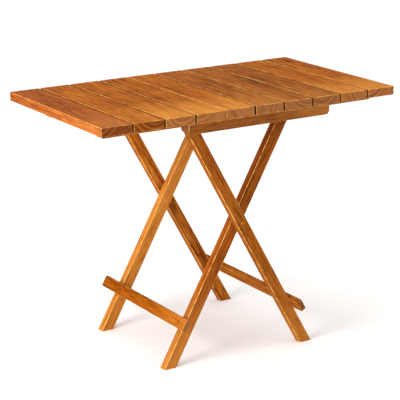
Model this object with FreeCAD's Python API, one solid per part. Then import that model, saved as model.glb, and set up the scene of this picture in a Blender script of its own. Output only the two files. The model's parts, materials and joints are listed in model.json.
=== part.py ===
"""Folding slatted teak table on scissor legs, in millimetres.

Frame: +Z up, X along the table's long side, Y across it (the front is -Y), origin on the floor
under the middle of the top.

Two leg frames cross at the pivot axis (PIVOT_X, PIVOT_Z).  The outer frame runs from the upper left
to the lower right and hangs from the battens at the hinge axis.  The inner frame runs the other way;
pins in its two top ends travel in grooves in the slide rails.  Both upper arms are equally long, so the
pins keep the depth of the hinge axis below the slats while the legs fold.
"""
import FreeCAD, Part
import math
import os

V = FreeCAD.Vector

# ---------------------------------------------------------------- driving dimensions
TABLE_LENGTH = 905.0        # along X
TABLE_WIDTH = 510.0         # along Y, the length of one slat
TABLE_HEIGHT = 700.0
SLAT_THICK = 24.0
SLAT_GAPS = [4.5, 4.5, 4.5, 1.5, 5.0, 4.5, 4.5, 4.5, 4.5]      # left to right
SLAT_EDGE_R = 2.0
EDGE_R = 1.5                # legs, stretchers, slide rails and battens

LEG_WIDE = 32.0             # across the leg, in the XZ plane
LEG_THICK = 23.0            # along Y
LEG_ANGLE = 60.7            # from the floor
PIVOT_X = -12.0             # where the legs cross
PIVOT_Z = 375.0
HINGE_DEPTH = 17.5          # hinge axis and slide pins, below the slats

# lanes, measured outward from the middle plane y = 0
BATTEN_IN, BATTEN_OUT = 215.0, TABLE_WIDTH / 2
OUTER_IN = 190.0
INNER_IN = 160.0
RAIL_IN, RAIL_OUT = 123.0, 157.0

BATTEN_X0, BATTEN_X1 = -203.0, 235.0
BATTEN_DEEP = 27.0
BATTEN_CORNER_R = 12.0      # rounds the lower corner at each end

RAIL_X0, RAIL_X1 = -410.0, 446.0
RAIL_DEEP = 30.0
RAIL_CHAMFER = 15.0
GROOVE_DEEP = 12.0          # into the rail's leg side
GROOVE_HALF = 5.3           # half the groove's height
SEAT_RISE = 3.0             # the seat above the groove, where the pins sit when the table is in use
SEAT_PLAY = 0.8             # between a pin and each side of its seat

STRETCHER_WIDE = 32.0
STRETCHER_THICK = 16.0
OUTER_STRETCHER_DOWN = 301.0    # from the crossing, down the leg, to the stretcher's middle
INNER_STRETCHER_DOWN = 307.0
OUTER_STRETCHER_ENDS = (-250.0, 250.0)
INNER_STRETCHER_ENDS = (-203.0, 234.0)      # it stands out further past the legs at the back

PIN_R, PIN_LENGTH, PIN_IN_LEG = 5.0, 29.0, 15.0
PIN_END_R = 0.8             # rounds the end that slides

PIVOT_BOLT_R, PIVOT_HEAD_R = 4.0, 7.0       # M8 through both legs
HINGE_BOLT_R, HINGE_HEAD_R = 3.0, 5.2       # M6 through batten and outer leg
HINGE_SEAT, HINGE_HEAD_TOP = 246.0, 250.0   # its head in the batten, from the middle plane
HINGE_BOLT_TAIL = 0.5       # stands this far out of the outer leg's inner face
RUNNING_FIT = 0.05          # radial play where a leg turns on its bolt
SIDE_PLAY = 0.2             # between a turning face and its washer or spacer

HEAD_PLAY = 0.6             # between a turning bolt head and the bung over it
HEAD_SINK = 9.5             # counterbore for the pivot bolt's head, in the outer leg's outer face
NUT_SINK, NUT_POCKET_R = 6.0, 8.5       # recess for the hinge nut, in the outer leg's inner face
NUT_FLATS, NUT_THICK = 10.0, 5.0
INSERT_R, INSERT_LENGTH = 6.0, 16.0
PIVOT_WASHER_R, PIVOT_WASHER_THICK = 7.5, 1.2
HINGE_WASHER_R = 8.0
SPACER_R = 11.0

SCREW_R, SCREW_HEAD_R, SCREW_HEAD_TALL = 2.0, 4.0, 3.0
SCREW_POINT_R, SCREW_POINT_LENGTH = 0.4, 5.0
SCREW_SOCKET_R, SCREW_SOCKET_DEEP = 0.8, 1.8
RAIL_SCREW_Y, RAIL_SCREW_LENGTH = 134.0, 40.0
BATTEN_SCREW_Y, BATTEN_SCREW_LENGTH = 235.0, 38.0
SLAT_SCREW_SINK = 5.0       # screw heads below the faces of the rails and battens
RAIL_SCREW_INSET = 6.0      # keeps the first rail screw off the chamfered end
BATTEN_SCREW_SHARE = 20.0   # least length that slat and batten share where there is a screw
BATTEN_SCREW_CLEAR = 12.0   # least distance from a batten screw to the hinge axis
STRETCHER_SCREW_SINK, STRETCHER_SCREW_LENGTH = 6.0, 32.0

BUNG_R = 4.75               # over the stretcher screws
BOLT_BUNG_R = 8.0           # over the pivot bolts
BUNG_THICK = 3.6
HINGE_BUNG_R = 6.5          # over the hinge bolts

CUT_PAST = 1.0              # how far a cut starts outside the face that it opens
LONG_EDGE = 100.0           # edges longer than this run along their piece

# ---------------------------------------------------------------- derived
UNDERSIDE = TABLE_HEIGHT - SLAT_THICK
HINGE_Z = UNDERSIDE - HINGE_DEPTH
ANGLE = math.radians(LEG_ANGLE)
UPPER_ARM = (HINGE_Z - PIVOT_Z) / math.sin(ANGLE)
HINGE_X = PIVOT_X - UPPER_ARM * math.cos(ANGLE)
PINS_X = PIVOT_X + UPPER_ARM * math.cos(ANGLE)
OUTER_OUT = OUTER_IN + LEG_THICK
INNER_OUT = INNER_IN + LEG_THICK
SLAT_WIDE = (TABLE_LENGTH - sum(SLAT_GAPS)) / (len(SLAT_GAPS) + 1)
FACE = LEG_WIDE / 2         # from a leg's middle line to the face that carries the stretcher

FRONT, BACK = -1, 1         # side of the table
OUTER, INNER = 1, -1        # which way a leg leans: +1 foot to the right, -1 foot to the left
UP = V(0, 0, 1)

stretcher_down = {OUTER: OUTER_STRETCHER_DOWN, INNER: INNER_STRETCHER_DOWN}
stretcher_ends = {OUTER: OUTER_STRETCHER_ENDS, INNER: INNER_STRETCHER_ENDS}
stretcher_lane = {OUTER: OUTER_IN + LEG_THICK / 2, INNER: INNER_IN + LEG_THICK / 2}


# ---------------------------------------------------------------- helpers
def export(name, shape):
    """Write one piece, or one group of equal fasteners, to its STEP file."""
    if not shape.isValid():
        raise RuntimeError(name + " is not a valid shape")
    shape.exportStep("parts/%s.step" % name)


def box(x0, x1, y0, y1, z0, z1):
    low, high = min(y0, y1), max(y0, y1)
    return Part.makeBox(x1 - x0, high - low, z1 - z0, V(x0, low, z0))


def across(radius, x, z, y_from, y_to):
    """A round bar along Y between two y values, given in either order."""
    low, high = min(y_from, y_to), max(y_from, y_to)
    return Part.makeCylinder(radius, high - low, V(x, low, z), V(0, 1, 0))


def hexagon(across_flats, x, z, y_from, y_to):
    """A hexagonal nut blank along Y."""
    low, high = min(y_from, y_to), max(y_from, y_to)
    corner = across_flats / 2 / math.cos(math.pi / 6)
    ring = [V(x + corner * math.cos(k * math.pi / 3), low, z + corner * math.sin(k * math.pi / 3))
            for k in range(7)]
    return Part.Face(Part.makePolygon(ring)).extrude(V(0, high - low, 0))


def on_leg(lean, down, out, y=0.0):
    """Point at a distance down the leg from the crossing and out past its middle line, upper side."""
    c, s = math.cos(ANGLE), math.sin(ANGLE)
    return V(PIVOT_X + lean * (down * c + out * s), y, PIVOT_Z - down * s + out * c)


def soften(shape, radius, wanted):
    """Round the edges for which wanted(edge) is true."""
    return shape.makeFillet(radius, [e for e in shape.Edges if wanted(e)])


def long_and_under(height):
    return lambda e: e.Length > LONG_EDGE and e.BoundBox.ZMax < height


# ---------------------------------------------------------------- screws
def screw(base, direction, length):
    """Countersunk wood screw: base is the middle of its head, direction points to its tip."""
    straight = length - SCREW_POINT_LENGTH
    head = Part.makeCone(SCREW_HEAD_R, SCREW_R, SCREW_HEAD_TALL, base, direction)
    shank = Part.makeCylinder(SCREW_R, straight, base, direction)
    point = Part.makeCone(SCREW_R, SCREW_POINT_R, SCREW_POINT_LENGTH, base + direction * straight, direction)
    socket = Part.makeCylinder(SCREW_SOCKET_R, SCREW_SOCKET_DEEP, base, direction)
    return head.fuse(shank).fuse(point).removeSplitter().cut(socket)


def screw_hole(base, direction, length):
    """What a screw takes out of the wood."""
    head = Part.makeCone(SCREW_HEAD_R, SCREW_R, SCREW_HEAD_TALL, base, direction)
    return head.fuse(Part.makeCylinder(SCREW_R, length, base, direction))


def drill_slat_screws(wood, bases, side, length):
    """Cut the screws on one side of the table, and the counterbores below their heads."""
    bore = SLAT_SCREW_SINK + CUT_PAST
    for base in bases:
        if base.y * side > 0:
            wood = wood.cut(screw_hole(base, UP, length))
            wood = wood.cut(Part.makeCylinder(SCREW_HEAD_R, bore, base - UP * bore, UP))
    return wood


# ---------------------------------------------------------------- slats
slat_spans = []
x = -TABLE_LENGTH / 2
for gap in SLAT_GAPS + [0.0]:
    slat_spans.append((x, x + SLAT_WIDE))
    x += SLAT_WIDE + gap


def shared(span, x0, x1):
    """Middle and length of the stretch that a slat shares with the rail or batten under it."""
    low, high = max(span[0], x0), min(span[1], x1)
    return (low + high) / 2, high - low


def screw_bases(xs, y, deep):
    """Heads of a row of slat screws on each side of the table, in a rail or batten so deep."""
    return [V(sx, side * y, UNDERSIDE - deep + SLAT_SCREW_SINK) for side in (FRONT, BACK) for sx in xs]


rail_screw_xs = [shared(span, RAIL_X0 + RAIL_SCREW_INSET, RAIL_X1)[0] for span in slat_spans]
batten_screw_xs = [middle for middle, length in (shared(span, BATTEN_X0, BATTEN_X1) for span in slat_spans)
                   if length > BATTEN_SCREW_SHARE and abs(middle - HINGE_X) > BATTEN_SCREW_CLEAR]
rail_screws = screw_bases(rail_screw_xs, RAIL_SCREW_Y, RAIL_DEEP)
batten_screws = screw_bases(batten_screw_xs, BATTEN_SCREW_Y, BATTEN_DEEP)


def make_slat(span):
    slat = box(span[0], span[1], -TABLE_WIDTH / 2, TABLE_WIDTH / 2, UNDERSIDE, TABLE_HEIGHT)
    slat = slat.makeFillet(SLAT_EDGE_R, slat.Edges)
    for bases, length in ((rail_screws, RAIL_SCREW_LENGTH), (batten_screws, BATTEN_SCREW_LENGTH)):
        for base in bases:
            if span[0] < base.x < span[1]:
                slat = slat.cut(Part.makeCylinder(SCREW_R, base.z + length - UNDERSIDE,
                                                  V(base.x, base.y, UNDERSIDE), UP))
    return slat


# ---------------------------------------------------------------- battens and slide rails
def make_batten(side):
    """Shallow batten under the slat ends, its lower corners rounded."""
    low = UNDERSIDE - BATTEN_DEEP
    batten = box(BATTEN_X0, BATTEN_X1, side * BATTEN_IN, side * BATTEN_OUT, low, UNDERSIDE)
    batten = soften(batten, BATTEN_CORNER_R,
                    lambda e: e.Length < LONG_EDGE and e.BoundBox.ZMax < low + EDGE_R)
    batten = soften(batten, EDGE_R, long_and_under(UNDERSIDE - EDGE_R))
    outside = side * (BATTEN_OUT + CUT_PAST)
    batten = batten.cut(across(HINGE_BOLT_R, HINGE_X, HINGE_Z, side * OUTER_OUT, outside))
    batten = batten.cut(across(HINGE_BUNG_R, HINGE_X, HINGE_Z, side * HINGE_SEAT, outside))
    return drill_slat_screws(batten, batten_screws, side, BATTEN_SCREW_LENGTH)


def make_rail(side):
    """Full-length rail that carries every slat, with the pin groove in its leg side.

    The groove is open at the right-hand end and closed at the left, where the seat rises above it.
    """
    low = UNDERSIDE - RAIL_DEEP
    c = RAIL_CHAMFER
    outline = [V(RAIL_X0, 0, UNDERSIDE), V(RAIL_X0, 0, low + c), V(RAIL_X0 + c, 0, low),
               V(RAIL_X1, 0, low), V(RAIL_X1, 0, UNDERSIDE), V(RAIL_X0, 0, UNDERSIDE)]
    rail = Part.Face(Part.makePolygon(outline)).extrude(V(0, RAIL_OUT - RAIL_IN, 0))
    rail.translate(V(0, RAIL_IN if side == BACK else -RAIL_OUT, 0))
    rail = soften(rail, EDGE_R, long_and_under(low + EDGE_R))
    y0, y1 = side * (RAIL_OUT - GROOVE_DEEP), side * (RAIL_OUT + CUT_PAST)
    seat_half = PIN_R + SEAT_PLAY
    closed_end, open_end = PINS_X - seat_half, RAIL_X1 + CUT_PAST
    rail = rail.cut(box(closed_end, open_end, y0, y1, HINGE_Z - GROOVE_HALF, HINGE_Z + GROOVE_HALF))
    rail = rail.cut(box(closed_end, PINS_X + seat_half, y0, y1,
                        HINGE_Z, HINGE_Z + GROOVE_HALF + SEAT_RISE))
    return drill_slat_screws(rail, rail_screws, side, RAIL_SCREW_LENGTH)


# ---------------------------------------------------------------- legs and stretchers
def stretcher_screw(lean, side):
    """Head position and direction of the screw that holds a stretcher to one leg."""
    head = on_leg(lean, stretcher_down[lean], FACE + STRETCHER_THICK - STRETCHER_SCREW_SINK,
                  side * stretcher_lane[lean])
    inward = on_leg(lean, 0, -1) - on_leg(lean, 0, 0)
    return head, inward


def make_leg(lean, side):
    """One leg: round at the top, cut level at the floor."""
    y0 = side * (OUTER_IN if lean == OUTER else INNER_IN)
    top_low, top_high = on_leg(lean, -UPPER_ARM, -FACE), on_leg(lean, -UPPER_ARM, FACE)
    top_round = on_leg(lean, -UPPER_ARM - FACE, 0)

    def floor_point(out):
        down = (PIVOT_Z + out * math.cos(ANGLE)) / math.sin(ANGLE)
        return on_leg(lean, down, out)

    foot_low, foot_high = floor_point(-FACE), floor_point(FACE)
    outline = Part.Wire([Part.Arc(top_low, top_round, top_high).toShape(),
                         Part.LineSegment(top_high, foot_high).toShape(),
                         Part.LineSegment(foot_high, foot_low).toShape(),
                         Part.LineSegment(foot_low, top_low).toShape()])
    leg = Part.Face(outline).extrude(V(0, LEG_THICK, 0))
    leg.translate(V(0, y0 if side == BACK else y0 - LEG_THICK, 0))
    leg = soften(leg, EDGE_R, lambda e: e.Length > LONG_EDGE)

    inner_face, outer_face = y0, y0 + side * LEG_THICK
    if lean == OUTER:
        leg = leg.cut(across(PIVOT_BOLT_R + RUNNING_FIT, PIVOT_X, PIVOT_Z, inner_face, outer_face))
        leg = leg.cut(across(BOLT_BUNG_R, PIVOT_X, PIVOT_Z, outer_face, outer_face - side * HEAD_SINK))
        leg = leg.cut(across(HINGE_BOLT_R + RUNNING_FIT, HINGE_X, HINGE_Z, inner_face, outer_face))
        leg = leg.cut(across(NUT_POCKET_R, HINGE_X, HINGE_Z, inner_face, inner_face + side * NUT_SINK))
    else:
        leg = leg.cut(across(INSERT_R, PIVOT_X, PIVOT_Z, outer_face, outer_face - side * INSERT_LENGTH))
        leg = leg.cut(across(PIN_R, PINS_X, HINGE_Z, inner_face, inner_face + side * PIN_IN_LEG))

    head, inward = stretcher_screw(lean, side)
    return leg.cut(screw_hole(head, inward, STRETCHER_SCREW_LENGTH))


def make_stretcher(lean):
    """Flat bar laid on the upper edge faces of a frame's two legs."""
    down, (y0, y1) = stretcher_down[lean], stretcher_ends[lean]
    half = STRETCHER_WIDE / 2
    corners = [(-half, FACE), (-half, FACE + STRETCHER_THICK), (half, FACE + STRETCHER_THICK), (half, FACE)]
    ring = [on_leg(lean, down + d, out, y0) for d, out in corners]
    bar = Part.Face(Part.makePolygon(ring + ring[:1])).extrude(V(0, y1 - y0, 0))
    bar = bar.makeFillet(EDGE_R, bar.Edges)
    for side in (FRONT, BACK):
        head, inward = stretcher_screw(lean, side)
        bar = bar.cut(screw_hole(head, inward, STRETCHER_SCREW_LENGTH))
        bar = bar.cut(Part.makeCylinder(BUNG_R, STRETCHER_SCREW_SINK + CUT_PAST, head, inward * -1))
    return bar


def make_stretcher_screws(lean):
    return Part.makeCompound([screw(*stretcher_screw(lean, side), STRETCHER_SCREW_LENGTH)
                              for side in (FRONT, BACK)])


def make_stretcher_bungs(lean):
    """Teak bungs glued over the screw heads, pared off flush."""
    bungs = []
    for side in (FRONT, BACK):
        head, inward = stretcher_screw(lean, side)
        bungs.append(Part.makeCylinder(BUNG_R, STRETCHER_SCREW_SINK, head, inward * -1))
    return Part.makeCompound(bungs)


# ---------------------------------------------------------------- pivots
def both_sides(maker):
    return Part.makeCompound([maker(side) for side in (FRONT, BACK)])


def pivot_bolt(side):
    """M8 bolt screwed into the inner leg's insert; the outer leg turns on it, under a sunk head."""
    seat = OUTER_OUT - HEAD_SINK + SIDE_PLAY + PIVOT_WASHER_THICK
    head = across(PIVOT_HEAD_R, PIVOT_X, PIVOT_Z, side * seat, side * (OUTER_OUT - BUNG_THICK - HEAD_PLAY))
    shank = across(PIVOT_BOLT_R, PIVOT_X, PIVOT_Z, side * seat, side * (INNER_OUT - INSERT_LENGTH))
    return head.fuse(shank).removeSplitter()


def pivot_insert(side):
    """Brass threaded insert, blind in the inner leg."""
    ring = across(INSERT_R, PIVOT_X, PIVOT_Z, side * (INNER_OUT - INSERT_LENGTH), side * INNER_OUT)
    return ring.cut(across(PIVOT_BOLT_R, PIVOT_X, PIVOT_Z, side * INNER_IN, side * (INNER_OUT + CUT_PAST)))


def pivot_washer(side):
    """Washer under the bolt head, a little off the floor of the outer leg's counterbore."""
    near = OUTER_OUT - HEAD_SINK + SIDE_PLAY
    far = near + PIVOT_WASHER_THICK
    ring = across(PIVOT_WASHER_R, PIVOT_X, PIVOT_Z, side * near, side * far)
    return ring.cut(across(PIVOT_BOLT_R, PIVOT_X, PIVOT_Z, side * near, side * far))


def pivot_spacer(side):
    """Spacer ring that keeps the two legs apart at the crossing."""
    ring = across(SPACER_R, PIVOT_X, PIVOT_Z, side * INNER_OUT, side * (OUTER_IN - SIDE_PLAY))
    return ring.cut(across(PIVOT_BOLT_R, PIVOT_X, PIVOT_Z, side * INNER_OUT, side * OUTER_IN))


def pivot_bung(side):
    return across(BOLT_BUNG_R, PIVOT_X, PIVOT_Z, side * (OUTER_OUT - BUNG_THICK), side * OUTER_OUT)


def hinge_bolt(side):
    """M6 bolt fixed in the batten; the outer leg turns on it."""
    head = across(HINGE_HEAD_R, HINGE_X, HINGE_Z, side * HINGE_SEAT, side * HINGE_HEAD_TOP)
    shank = across(HINGE_BOLT_R, HINGE_X, HINGE_Z, side * HINGE_SEAT, side * (OUTER_IN - HINGE_BOLT_TAIL))
    return head.fuse(shank).removeSplitter()


def hinge_washer(side):
    """Washer between batten and outer leg."""
    ring = across(HINGE_WASHER_R, HINGE_X, HINGE_Z, side * (OUTER_OUT + SIDE_PLAY), side * BATTEN_IN)
    return ring.cut(across(HINGE_BOLT_R, HINGE_X, HINGE_Z, side * OUTER_OUT, side * BATTEN_IN))


def hinge_nut(side):
    """Lock nut in the recess of the outer leg's inner face."""
    far = OUTER_IN + NUT_SINK - SIDE_PLAY
    near = far - NUT_THICK
    nut = hexagon(NUT_FLATS, HINGE_X, HINGE_Z, side * near, side * far)
    return nut.cut(across(HINGE_BOLT_R, HINGE_X, HINGE_Z, side * near, side * far))


def hinge_bung(side):
    return across(HINGE_BUNG_R, HINGE_X, HINGE_Z, side * HINGE_HEAD_TOP, side * BATTEN_OUT)


def slide_pin(side):
    """Steel pin glued into the top of an inner leg; its free end runs in the rail's groove."""
    y_start = side * (INNER_IN + PIN_IN_LEG)
    y_end = side * (INNER_IN + PIN_IN_LEG - PIN_LENGTH)
    pin = across(PIN_R, PINS_X, HINGE_Z, y_start, y_end)
    return soften(pin, PIN_END_R, lambda e: abs(e.CenterOfMass.y - y_end) < PIN_END_R)


# ---------------------------------------------------------------- build
os.makedirs("parts", exist_ok=True)

for number, span in enumerate(slat_spans, 1):
    export("slat_%02d" % number, make_slat(span))

for side, word in ((FRONT, "front"), (BACK, "back")):
    export("batten_" + word, make_batten(side))
    export("slide_rail_" + word, make_rail(side))
    export("outer_leg_" + word, make_leg(OUTER, side))
    export("inner_leg_" + word, make_leg(INNER, side))

for lean, word in ((OUTER, "outer"), (INNER, "inner")):
    export(word + "_stretcher", make_stretcher(lean))
    export(word + "_stretcher_screws", make_stretcher_screws(lean))
    export(word + "_stretcher_bungs", make_stretcher_bungs(lean))

export("rail_screws", Part.makeCompound([screw(b, UP, RAIL_SCREW_LENGTH) for b in rail_screws]))
export("batten_screws", Part.makeCompound([screw(b, UP, BATTEN_SCREW_LENGTH) for b in batten_screws]))

export("pivot_bolts", both_sides(pivot_bolt))
export("pivot_washers", both_sides(pivot_washer))
export("pivot_inserts", both_sides(pivot_insert))
export("pivot_spacers", both_sides(pivot_spacer))
export("pivot_bungs", both_sides(pivot_bung))
export("hinge_bolts", both_sides(hinge_bolt))
export("hinge_washers", both_sides(hinge_washer))
export("hinge_nuts", both_sides(hinge_nut))
export("hinge_bungs", both_sides(hinge_bung))
export("slide_pins", both_sides(slide_pin))

print("hinge axis at x %.2f z %.2f" % (HINGE_X, HINGE_Z))
print("crossing at x %.2f z %.2f" % (PIVOT_X, PIVOT_Z))
print("slide pins at x %.2f, upper arm %.2f" % (PINS_X, UPPER_ARM))
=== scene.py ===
import json
import math

import bpy
from mathutils import Matrix, Vector

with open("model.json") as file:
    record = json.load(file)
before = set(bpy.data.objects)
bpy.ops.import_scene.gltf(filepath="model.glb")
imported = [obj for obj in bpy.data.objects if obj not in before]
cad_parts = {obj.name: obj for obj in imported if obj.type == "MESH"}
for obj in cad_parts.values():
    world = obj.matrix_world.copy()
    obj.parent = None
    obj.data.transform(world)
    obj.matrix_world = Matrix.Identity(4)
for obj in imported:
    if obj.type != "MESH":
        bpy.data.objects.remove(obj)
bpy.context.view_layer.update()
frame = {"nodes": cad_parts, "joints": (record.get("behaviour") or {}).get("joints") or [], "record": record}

MM_PER_M = 1000

# ---------------------------------------------------------------- helpers


def srgb(r, g, b):
    """Linear colour with alpha from sRGB values of 0 to 255."""
    def linear(c):
        c /= 255
        return c / 12.92 if c <= 0.04045 else ((c + 0.055) / 1.055) ** 2.4
    return (linear(r), linear(g), linear(b), 1.0)


class Tree:
    """Short names for adding and wiring shader nodes. A value may be a number or another node's socket."""

    def __init__(self, tree):
        self.tree = tree

    def add(self, kind, inputs=(), **settings):
        node = self.tree.nodes.new(kind)
        for name, value in settings.items():
            setattr(node, name, value)
        for socket, value in dict(inputs).items():
            self.put(node.inputs[socket], value)
        return node

    def put(self, socket, value):
        if isinstance(value, bpy.types.NodeSocket):
            self.tree.links.new(value, socket)
        else:
            socket.default_value = value

    def math(self, operation, *values):
        return self.add("ShaderNodeMath", enumerate(values), operation=operation).outputs[0]

    def vector(self, operation, *values):
        return self.add("ShaderNodeVectorMath", enumerate(values), operation=operation).outputs[0]

    def dot(self, a, b):
        return self.add("ShaderNodeVectorMath", {0: a, 1: b}, operation="DOT_PRODUCT").outputs["Value"]

    def total(self, start, *terms):
        """start plus every term times its weight."""
        for term, weight in terms:
            start = self.math("MULTIPLY_ADD", term, weight, start)
        return start

    def ramp(self, value, low, high, to_low=0.0, to_high=1.0):
        """Smooth step from to_low at low to to_high at high."""
        return self.add("ShaderNodeMapRange", {0: value, 1: low, 2: high, 3: to_low, 4: to_high},
                        interpolation_type="SMOOTHSTEP").outputs[0]

    def noise(self, vector, detail, scale=1.0, roughness=0.5):
        return self.add("ShaderNodeTexNoise", {"Vector": vector, "Scale": scale, "Detail": detail,
                                               "Roughness": roughness}).outputs

    def noise_along(self, number, scale, detail):
        """Noise that changes with one number only."""
        return self.add("ShaderNodeTexNoise", {"W": self.math("MULTIPLY", number, scale), "Scale": 1.0,
                                               "Detail": detail}, noise_dimensions="1D").outputs["Fac"]

    def grain(self, vector, look):
        """Noise drawn out along Y. look: cycles per unit across and along, detail, roughness."""
        across, along, detail, roughness = look
        drawn_out = self.vector("MULTIPLY", vector, (across, along, across))
        return self.noise(drawn_out, detail, roughness=roughness)["Fac"]

    def mix(self, factor, a, b):
        node = self.add("ShaderNodeMix", data_type="RGBA")
        for index, value in ((0, factor), (6, a), (7, b)):      # the colour sockets of a Mix node
            self.put(node.inputs[index], value)
        return node.outputs[2]

    def bump(self, height, strength, distance):
        node = self.add("ShaderNodeBump", {"Height": height})
        node.inputs["Strength"].default_value = strength
        node.inputs["Distance"].default_value = distance
        return node.outputs[0]


def empty_material(name):
    material = bpy.data.materials.new(name)
    material.use_nodes = True
    material.node_tree.nodes.clear()
    return material, Tree(material.node_tree)


# ---------------------------------------------------------------- teak

# tones of a board: light, middle, dark
HONEY = (srgb(200, 122, 42), srgb(166, 90, 29), srgb(94, 43, 13))
BROWN = (srgb(188, 113, 47), srgb(152, 84, 32), srgb(85, 41, 15))
RED = (srgb(184, 105, 48), srgb(154, 81, 35), srgb(89, 40, 15))
LEG_GOLD = (srgb(176, 105, 33), srgb(149, 82, 25), srgb(92, 43, 13))
LEG_BROWN = (srgb(172, 96, 31), srgb(142, 73, 22), srgb(86, 39, 12))
LEG_HONEY = (srgb(210, 130, 45), srgb(180, 103, 32), srgb(92, 41, 12))
LEG_PALE = (srgb(206, 140, 64), srgb(188, 118, 47), srgb(138, 74, 26))
ORANGE = (srgb(179, 101, 20), srgb(150, 77, 13), srgb(92, 41, 9))
UMBER = (srgb(156, 91, 40), srgb(131, 74, 31), srgb(88, 46, 19))

# what end grain tends to
PINKISH = srgb(142, 94, 60)
DULL_RED = srgb(96, 46, 20)
GREY_BROWN = srgb(104, 68, 42)

PALER_END = srgb(230, 164, 82)       # the paler end of a board
ARRIS_HIGHLIGHT = srgb(234, 180, 98)          # painted highlight along an edge, where light catches the rounded arris
GAP = srgb(44, 20, 9)               # unlit sides of the gaps between slats

# patterns in the wood: cycles per millimetre across and along the grain, detail, roughness
BAND = (0.045, 0.0022, 2.0, 0.5)
STREAK = (0.34, 0.0065, 4.0, 0.62)
FLECK = (0.24, 0.017, 4.0, 0.72)
PATCH = (0.02, 0.009, 3.0, 0.55)
FIBRE = (1.7, 0.035, 3.0, 0.6)
PORE = (3.1, 0.11, 1.0, 0.5)
END_PORE = (2.3, 2.3, 1.0, 0.5)

PORE_FROM, PORE_FULL = 0.60, 0.70           # values of the PORE noise where a pore opens
END_PORE_FROM, END_PORE_FULL = 0.56, 0.70

# growth rings: how they bend along the trunk, and how uneven they are
DRIFT_ACROSS, DRIFT_ALONG, DRIFT_DETAIL = 0.011, 0.0024, 2.0
DRIFT_MM = 26.0
TAPER = 0.016                       # how much nearer the pith the rings lie, per millimetre up
UNEVEN_SCALE, UNEVEN_DETAIL, UNEVEN_RINGS = 0.11, 2.0, 5.0
LATE_WOOD = 3.0                     # power that keeps the late wood to the end of a ring
RING_END = 0.93                     # share of a ring's width after which its late wood fades
FAINTEST_RING = 0.25

# tone, from 0 for dark to 1 for light wood: what moves it from its middle, and its thresholds
MIDDLE_TONE = 0.50
BAND_TONE, STREAK_TONE, FLECK_TONE, PATCH_TONE, FIBRE_TONE = 0.50, 1.3, 1.7, 0.40, 0.85
PALE_TONE, RING_TONE = 0.30, 0.42
DARK_FROM, DARK_FULL = 0.52, 0.06
LIGHT_FROM, LIGHT_FULL = 0.48, 0.92
PORE_DARKENS, PALE_LIGHTENS = 0.42, 0.28

# end grain: the share of its own colour, groups of years as arcs, and darker rings and pores
END_FROM, END_FULL = 0.55, 0.80     # cosine of the angle between a face's normal and the grain
CUT_SHARE = 0.74
YEARS_SCALE, YEARS_DETAIL, YEARS_MIDDLE = 0.16, 3.0, 0.50
DARK_YEARS, DARK_YEARS_SHARE = 0.34, 0.36
LIGHT_YEARS, LIGHT_YEARS_SHARE = 0.66, 0.34
RING_DARKENS, END_PORE_DARKENS = 0.85, 0.26

# painted highlight along the edges: width in millimetres, how it is broken up, and how light it gets
ARRIS_WIDTH, ARRIS_CORE = 1.7, 0.3
BREAK_SCALE, BREAK_DETAIL, BREAK_FROM, BREAK_FULL = 0.05, 3.0, 0.35, 0.65
LEAST_EDGE_HIGHLIGHT, MOST_EDGE_HIGHLIGHT = 0.12, 0.62

# sides in a gap: cosine of the angle between a face's normal and across, and how dark they get
GAP_FROM, GAP_FULL, GAP_SHARE = 0.80, 0.97, 0.85

PALE_REACH = 700.0                  # millimetres: no longer stretch of a board's end turns paler
PALE_SHARE = 0.45                   # of the board's length, if that is less

WOOD_ROUGHNESS = 0.40
WOOD_IOR, WOOD_GLOSS = 1.46, 0.003
WOOD_RELIEF, WOOD_RELIEF_DEPTH = 0.55, 0.0004


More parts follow.
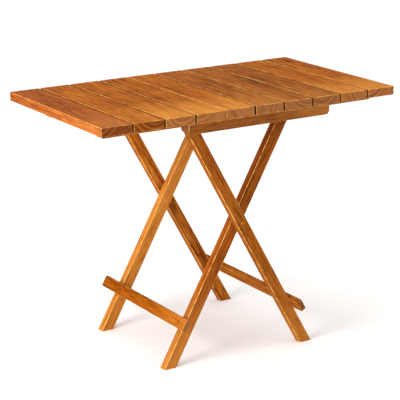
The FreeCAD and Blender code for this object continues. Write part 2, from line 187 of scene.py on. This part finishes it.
def teak_group():
    """Solid teak: growth rings round a pith line, cut wherever a board's faces happen to lie.

    The Vector input is in millimetres in the tree's own frame: Y up the trunk, the pith at x = z = 0.
    """
    group = bpy.data.node_groups.new("solid teak", "ShaderNodeTree")
    for in_out, kind, names in (
            ("INPUT", "NodeSocketVector", ("Vector",)),
            ("INPUT", "NodeSocketColor", ("Light", "Middle", "Dark", "Cut")),
            ("INPUT", "NodeSocketFloat", ("End", "Ring", "Figure", "Pale")),
            ("OUTPUT", "NodeSocketColor", ("Color",)),
            ("OUTPUT", "NodeSocketFloat", ("Roughness", "Height"))):
        for name in names:
            group.interface.new_socket(name, in_out=in_out, socket_type=kind)
    t = Tree(group)
    given = t.add("NodeGroupInput").outputs
    point, end, figure = given["Vector"], given["End"], given["Figure"]
    side = t.math("SUBTRACT", 1.0, end)

    # the trunk isn't straight: slow drift of the rings along the board
    drift = t.vector("MULTIPLY", point, (DRIFT_ACROSS, DRIFT_ALONG, DRIFT_ACROSS))
    drift = t.vector("SUBTRACT", t.noise(drift, DRIFT_DETAIL)["Color"], (0.5, 0.5, 0.5))
    bent = t.vector("ADD", point, t.vector("MULTIPLY", drift, (DRIFT_MM, 0.0, DRIFT_MM)))
    x, up, z = t.add("ShaderNodeSeparateXYZ", {0: bent}).outputs
    radius = t.math("SQRT", t.math("ADD", t.math("MULTIPLY", x, x), t.math("MULTIPLY", z, z)))
    radius = t.total(radius, (up, TAPER))

    # rings of uneven width, each with its own strength, darkest where the next one starts
    uneven = t.math("MULTIPLY", t.noise_along(radius, UNEVEN_SCALE, UNEVEN_DETAIL), UNEVEN_RINGS)
    count = t.math("ADD", t.math("DIVIDE", radius, given["Ring"]), uneven)
    phase = t.math("FRACT", count)
    strength = t.add("ShaderNodeTexWhiteNoise", {"W": t.math("FLOOR", count)},
                     noise_dimensions="1D").outputs["Value"]
    late = t.math("MULTIPLY", t.math("POWER", phase, LATE_WOOD), t.ramp(phase, 1.0, RING_END))
    ring = t.math("MULTIPLY", late, t.total(FAINTEST_RING, (strength, 1 - FAINTEST_RING)))

    # tone of the wood, from its patterns
    band, streak = t.grain(bent, BAND), t.grain(bent, STREAK)
    fleck, patch, fibre = t.grain(point, FLECK), t.grain(point, PATCH), t.grain(point, FIBRE)
    pores = t.ramp(t.grain(point, PORE), PORE_FROM, PORE_FULL)
    tone = MIDDLE_TONE
    for pattern, weight in ((band, BAND_TONE), (streak, t.math("MULTIPLY", figure, STREAK_TONE)),
                            (fleck, FLECK_TONE), (patch, PATCH_TONE), (fibre, FIBRE_TONE)):
        tone = t.total(tone, (t.math("SUBTRACT", pattern, 0.5), weight))
    tone = t.total(tone, (given["Pale"], PALE_TONE))
    tone = t.math("SUBTRACT", tone, t.math("MULTIPLY", ring, t.math("MULTIPLY", figure, RING_TONE)))

    colour = t.mix(t.ramp(tone, LIGHT_FROM, LIGHT_FULL), given["Middle"], given["Light"])
    colour = t.mix(t.ramp(tone, DARK_FROM, DARK_FULL), colour, given["Dark"])
    on_side = t.math("MULTIPLY", side, PORE_DARKENS)
    colour = t.mix(t.math("MULTIPLY", pores, on_side), colour, given["Dark"])
    # lighter towards one end of the board
    paling = t.math("MULTIPLY", t.math("MULTIPLY", given["Pale"], side), PALE_LIGHTENS)
    colour = t.mix(paling, colour, PALER_END)

    # cut across the grain: duller, with groups of years as arcs, thin dark rings and open pores
    end_pores = t.ramp(t.grain(point, END_PORE), END_PORE_FROM, END_PORE_FULL)
    years = t.noise_along(radius, YEARS_SCALE, YEARS_DETAIL)
    cut = t.mix(CUT_SHARE, colour, given["Cut"])
    cut = t.mix(t.ramp(years, YEARS_MIDDLE, DARK_YEARS, 0.0, DARK_YEARS_SHARE), cut, given["Dark"])
    cut = t.mix(t.ramp(years, YEARS_MIDDLE, LIGHT_YEARS, 0.0, LIGHT_YEARS_SHARE), cut, given["Light"])
    cut = t.mix(t.math("MULTIPLY", ring, RING_DARKENS), cut, given["Dark"])
    cut = t.mix(t.math("MULTIPLY", end_pores, END_PORE_DARKENS), cut, given["Dark"])

    t.add("NodeGroupOutput", {
        "Color": t.mix(end, colour, cut),
        "Roughness": t.total(WOOD_ROUGHNESS, (fibre, 0.20), (pores, 0.12), (end, 0.16)),
        "Height": t.total(0.0, (fibre, 0.7), (pores, -0.7), (ring, -0.35), (streak, 0.5),
                          (t.math("MULTIPLY", end_pores, end), -0.5))})
    return group


TEAK = teak_group()


def teak(name, axes, pith, tones, low, high, cut=PINKISH, ring=3.1, figure=1.0, shift=0.0, pale=0.0,
         rubbed=1.0, dark_sides=()):
    """Material for one board.

    axes are unit vectors in the frame of the whole table: across the board, along its grain and
    through it. pith is where the tree's middle lies, and low and high are the board's own limits,
    all in millimetres along those axes. tones are light, middle and dark wood, cut is the colour
    of the end grain, ring the mean ring width in millimetres and figure the strength of streaks and
    rings. shift slides the board up the trunk, so that no two boards show the same figure. pale is how
    much lighter the board gets towards the end that its grain axis points to, and rubbed how
    strong the painted highlight along its edges is. dark_sides lists the side faces, -1 or 1 across,
    that lie in a gap where little light gets.
    """
    across, along, _ = axes
    material, t = empty_material(name)
    where = t.add("ShaderNodeTexCoord").outputs
    start = Vector((-pith[0], shift, -pith[1]))
    mapping = t.add("ShaderNodeMapping", {
        "Vector": where["Object"], "Scale": (MM_PER_M, MM_PER_M, MM_PER_M),
        "Rotation": Matrix(axes).to_euler("XYZ"), "Location": start}, vector_type="POINT")
    point = mapping.outputs[0]
    end = t.ramp(t.math("ABSOLUTE", t.dot(where["Normal"], along)), END_FROM, END_FULL)

    # distance in from the board's faces: small in two directions at once only along an edge
    low, high = Vector(low) + start, Vector(high) + start
    centre, half = (low + high) / 2, (high - low) / 2
    inward = t.vector("SUBTRACT", half, t.vector("ABSOLUTE", t.vector("SUBTRACT", point, centre)))
    a, b, c = t.add("ShaderNodeSeparateXYZ", {0: inward}).outputs
    lesser, greater = t.math("MINIMUM", a, b), t.math("MAXIMUM", a, b)
    edge = t.math("MAXIMUM", lesser, t.math("MINIMUM", greater, c))
    # painted highlight along every edge of the board, broken up by noise
    broken = t.ramp(t.noise(point, BREAK_DETAIL, scale=BREAK_SCALE)["Fac"], BREAK_FROM, BREAK_FULL,
                    LEAST_EDGE_HIGHLIGHT * rubbed, MOST_EDGE_HIGHLIGHT * rubbed)
    painted_edge_highlight = t.math("MULTIPLY", t.ramp(edge, ARRIS_WIDTH, ARRIS_WIDTH * ARRIS_CORE), broken)

    up_trunk = t.add("ShaderNodeSeparateXYZ", {0: point}).outputs[1]
    pale_from = high.y - PALE_SHARE * min(2 * half.y, PALE_REACH)
    wood = t.add("ShaderNodeGroup", node_tree=TEAK)
    for socket, value in (("Vector", point), ("End", end), ("Light", tones[0]),
                          ("Middle", tones[1]), ("Dark", tones[2]), ("Cut", cut), ("Ring", ring),
                          ("Figure", figure), ("Pale", t.ramp(up_trunk, pale_from, high.y, 0.0, pale))):
        t.put(wood.inputs[socket], value)
    # mix in the painted edge highlight
    colour = t.mix(painted_edge_highlight, wood.outputs["Color"], ARRIS_HIGHLIGHT)
    for side in dark_sides:
        turned = t.math("MULTIPLY", t.dot(where["Normal"], across), float(side))
        colour = t.mix(t.ramp(turned, GAP_FROM, GAP_FULL, 0.0, GAP_SHARE), colour, GAP)

    skin = t.add("ShaderNodeBsdfPrincipled", {
        "Base Color": colour, "Roughness": wood.outputs["Roughness"],
        "Normal": t.bump(wood.outputs["Height"], WOOD_RELIEF, WOOD_RELIEF_DEPTH)})
    skin.inputs["IOR"].default_value = WOOD_IOR
    skin.inputs["Specular IOR Level"].default_value = WOOD_GLOSS
    t.add("ShaderNodeOutputMaterial", {"Surface": skin.outputs[0]})
    return material


def dress(node, material):
    mesh = frame["nodes"][node].data
    mesh.materials.clear()
    mesh.materials.append(material)


def board(node, along, across, pith, tones, **looks):
    """Dress a node in its own piece of teak, with the pith placed from the node's middle."""
    along, across = Vector(along).normalized(), Vector(across).normalized()
    axes = (across, along, across.cross(along))
    corners = [vertex.co * MM_PER_M for vertex in frame["nodes"][node].data.vertices]
    spans = [[corner.dot(axis) for corner in corners] for axis in axes]
    low, high = [min(span) for span in spans], [max(span) for span in spans]
    pith = ((low[0] + high[0]) / 2 + pith[0], (low[2] + high[2]) / 2 + pith[1])
    dress(node, teak(node, axes, pith, tones, low, high, **looks))


X, Y, Z = (1, 0, 0), (0, 1, 0), (0, 0, 1)
TO_FRONT = (0, -1, 0)

# slats, left to right: pith across and through, tones, end grain, ring width, figure, place up the
# trunk, and how much paler the front end is
SLATS = [
    ((-60, -70), RED, DULL_RED, 2.8, 0.8, 310, 0.4),
    ((20, -55), HONEY, DULL_RED, 4.6, 0.8, 1250, 0.3),
    ((10, -42), HONEY, PINKISH, 5.0, 0.8, 2170, 0.9),
    ((-34, -36), HONEY, PINKISH, 5.4, 0.8, 3350, 1.0),
    ((35, -40), HONEY, PINKISH, 4.8, 0.8, 4420, 0.9),
    ((-65, -35), BROWN, PINKISH, 4.2, 0.9, 5230, 0.4),
    ((45, -60), BROWN, PINKISH, 4.4, 0.8, 6110, 0.2),
    ((-20, -42), BROWN, PINKISH, 5.2, 0.9, 7340, 0.3),
    ((55, -46), HONEY, PINKISH, 4.6, 0.8, 8120, 0.8),
    ((-40, -50), HONEY, PINKISH, 4.4, 0.8, 9270, 0.9),
]
# how strong the painted highlight along the edges of slats and legs is
SLAT_EDGE_HIGHLIGHT, LEG_EDGE_HIGHLIGHT = 1.45, 2.3
for number, (pith, tones, cut, ring, figure, shift, pale) in enumerate(SLATS, 1):
    in_gap = [side for side, outermost in ((-1, 1), (1, len(SLATS))) if number != outermost]
    board("slat_%02d" % number, TO_FRONT, X, pith, tones, cut=cut, ring=ring, figure=figure,
          shift=shift, pale=pale, rubbed=SLAT_EDGE_HIGHLIGHT, dark_sides=in_gap)

# under the slats, the rails are sawn from further up the same trunks as the battens
RAIL_SHIFT = 900
for side, pith, shift in (("front", (60, 30), 400), ("back", (-40, 55), 2900)):
    board("batten_" + side, X, Y, pith, UMBER, ring=2.9, figure=0.6, shift=shift, pale=0.4)
    board("slide_rail_" + side, X, Y, (pith[1], pith[0]), BROWN, ring=3.3, figure=0.8,
          shift=shift + RAIL_SHIFT)

# the legs' grain follows the line from hinge or pin to foot
joints = {joint["name"]: joint for joint in frame["joints"]}
hinge = Vector(joints["leg_fold"]["pos_m"])
crossing = Vector(joints["leg_crossing"]["pos_m"])
down_outer = (crossing - hinge).normalized()
down_inner = Vector((-down_outer.x, 0, down_outer.z))

# legs: grain, pith, tones, ring width, figure, place up the trunk, how much paler that end is
LEGS = [
    ("outer_leg_front", down_outer, (35, 20), LEG_GOLD, 2.6, 0.8, 700, 0.5),
    ("outer_leg_back", down_outer, (8, 26), LEG_HONEY, 4.2, 1.1, 2300, -0.4),
    ("inner_leg_front", down_inner, (-40, 30), LEG_BROWN, 2.9, 0.8, 3900, 0.85),
    ("inner_leg_back", -down_inner, (30, -45), LEG_PALE, 3.2, 0.6, 5100, 0.4),
]
for node, grain, pith, tones, ring, figure, shift, pale in LEGS:
    board(node, grain, Vector(Y).cross(grain), pith, tones, ring=ring, figure=figure, shift=shift,
          pale=pale, rubbed=LEG_EDGE_HIGHLIGHT)

# stretchers: the way down their legs, pith, tones, end grain, place up the trunk, paleness in front
STRETCHERS = [
    ("inner", down_inner, (30, 38), ORANGE, PINKISH, 800, 0.4),
    ("outer", down_outer, (-24, 35), LEG_GOLD, GREY_BROWN, 2600, 0.0),
]
for frame_name, down, pith, tones, cut, shift, pale in STRETCHERS:
    board(frame_name + "_stretcher", TO_FRONT, down, pith, tones, cut=cut, ring=2.8, figure=1.1,
          shift=shift, pale=pale)
    board(frame_name + "_stretcher_bungs", down, Y, (6, 9), tones, ring=1.6, shift=shift, rubbed=0.0)
for node, tones in (("pivot_bungs", LEG_GOLD), ("hinge_bungs", UMBER)):
    board(node, down_outer, Z, (5, 12), tones, ring=1.8, shift=150, rubbed=0.0)

# ---------------------------------------------------------------- metal

TURNING = (900.0, 120.0, 3.0, 0.5)          # as the wood's patterns, but in cycles per metre
DRIFT_OF_TONE, DRIFT_OF_TONE_DETAIL = 70.0, 2.0
TURNING_ROUGHNESS = 0.16
METAL_RELIEF, METAL_RELIEF_DEPTH = 0.25, 0.0001


def turned_metal(name, duller, brighter, smoothest):
    """Metal with fine turning marks across Y, its tone drifting between two colours."""
    material, t = empty_material(name)
    where = t.add("ShaderNodeTexCoord").outputs["Object"]
    fine = t.grain(where, TURNING)
    slow = t.noise(where, DRIFT_OF_TONE_DETAIL, scale=DRIFT_OF_TONE)["Fac"]
    skin = t.add("ShaderNodeBsdfPrincipled", {
        "Base Color": t.mix(slow, duller, brighter),
        "Roughness": t.total(smoothest, (fine, TURNING_ROUGHNESS)),
        "Normal": t.bump(fine, METAL_RELIEF, METAL_RELIEF_DEPTH)})
    skin.inputs["Metallic"].default_value = 1.0
    t.add("ShaderNodeOutputMaterial", {"Surface": skin.outputs[0]})
    return material


METALS = {
    "stainless": turned_metal("stainless", srgb(196, 197, 199), srgb(222, 222, 221), 0.24),
    "brass": turned_metal("brass", srgb(186, 146, 74), srgb(214, 178, 104), 0.28),
}
for part in frame["record"]["subparts"]:
    if part["material_slot"] in METALS:
        dress(part["node"], METALS[part["material_slot"]])

# ---------------------------------------------------------------- floor, light, camera

FLOOR_REACH = 60.0          # metres each way
FLOOR_ALBEDO, FLOOR_ROUGHNESS = 0.93, 0.9
WORLD_LIGHT = 1.0
OVERHEAD_SPREAD = math.radians(50)

# area lights: place, aim, size in metres, watts, colour
LIGHTS = {
    "key": ((-3.2, -0.7, 1.5), (0.0, 0.0, 0.45), (1.6, 1.6), 104, (1.0, 0.97, 0.93)),
    "front": ((-0.9, -3.0, 0.45), (0.0, 0.0, 0.35), (1.8, 0.8), 6, (1.0, 1.0, 1.0)),
}

EYE, LOOK_AT = Vector((-2.1747, -3.4362, 1.5560)), Vector((-0.0114, 0.0, 0.3896))
CAMERA_ROLL = math.radians(-0.306)
SENSOR_MM, LENS_MM = 36.0, 138.2

scene = bpy.context.scene


def make_floor():
    """Wide matt floor, so pale that it meets the pale world without a visible horizon."""
    r = FLOOR_REACH
    mesh = bpy.data.meshes.new("floor")
    mesh.from_pydata([(-r, -r, 0), (r, -r, 0), (r, r, 0), (-r, r, 0)], [], [(0, 1, 2, 3)])
    material = bpy.data.materials.new("floor paper")
    material.use_nodes = True
    skin = material.node_tree.nodes["Principled BSDF"]
    skin.inputs["Base Color"].default_value = (FLOOR_ALBEDO, FLOOR_ALBEDO, FLOOR_ALBEDO, 1)
    skin.inputs["Roughness"].default_value = FLOOR_ROUGHNESS
    skin.inputs["Specular IOR Level"].default_value = 0.0
    mesh.materials.append(material)
    floor = bpy.data.objects.new("floor", mesh)
    scene.collection.objects.link(floor)


def aim(thing, place, target, roll=0.0):
    """Put a light or camera in its place and turn it to its target."""
    thing.location = place
    turn = (Vector(target) - Vector(place)).to_track_quat("-Z", "Y").to_matrix().to_4x4()
    thing.rotation_euler = (turn @ Matrix.Rotation(roll, 4, "Z")).to_euler()
    scene.collection.objects.link(thing)


make_floor()
for name, (place, target, size, watts, colour) in LIGHTS.items():
    light = bpy.data.lights.new(name, "AREA")
    light.shape = "RECTANGLE"
    light.size, light.size_y = size
    light.energy = watts
    light.color = colour
    aim(bpy.data.objects.new(name, light), place, target)

# a soft light from straight above makes up what the floor swallows, which hides the horizon
overhead = bpy.data.lights.new("overhead", "SUN")
overhead.energy = math.pi * WORLD_LIGHT * (1 / FLOOR_ALBEDO - 1)
overhead.angle = OVERHEAD_SPREAD
scene.collection.objects.link(bpy.data.objects.new("overhead", overhead))

world = bpy.data.worlds.new("studio")
world.use_nodes = True
background = world.node_tree.nodes["Background"]
background.inputs["Color"].default_value = (1, 1, 1, 1)
background.inputs["Strength"].default_value = WORLD_LIGHT
scene.world = world
scene.view_settings.view_transform = "Standard"

camera_data = bpy.data.cameras.new("camera")
camera_data.sensor_width = SENSOR_MM
camera_data.lens = LENS_MM
camera = bpy.data.objects.new("camera", camera_data)
aim(camera, EYE, LOOK_AT, CAMERA_ROLL)
scene.camera = camera
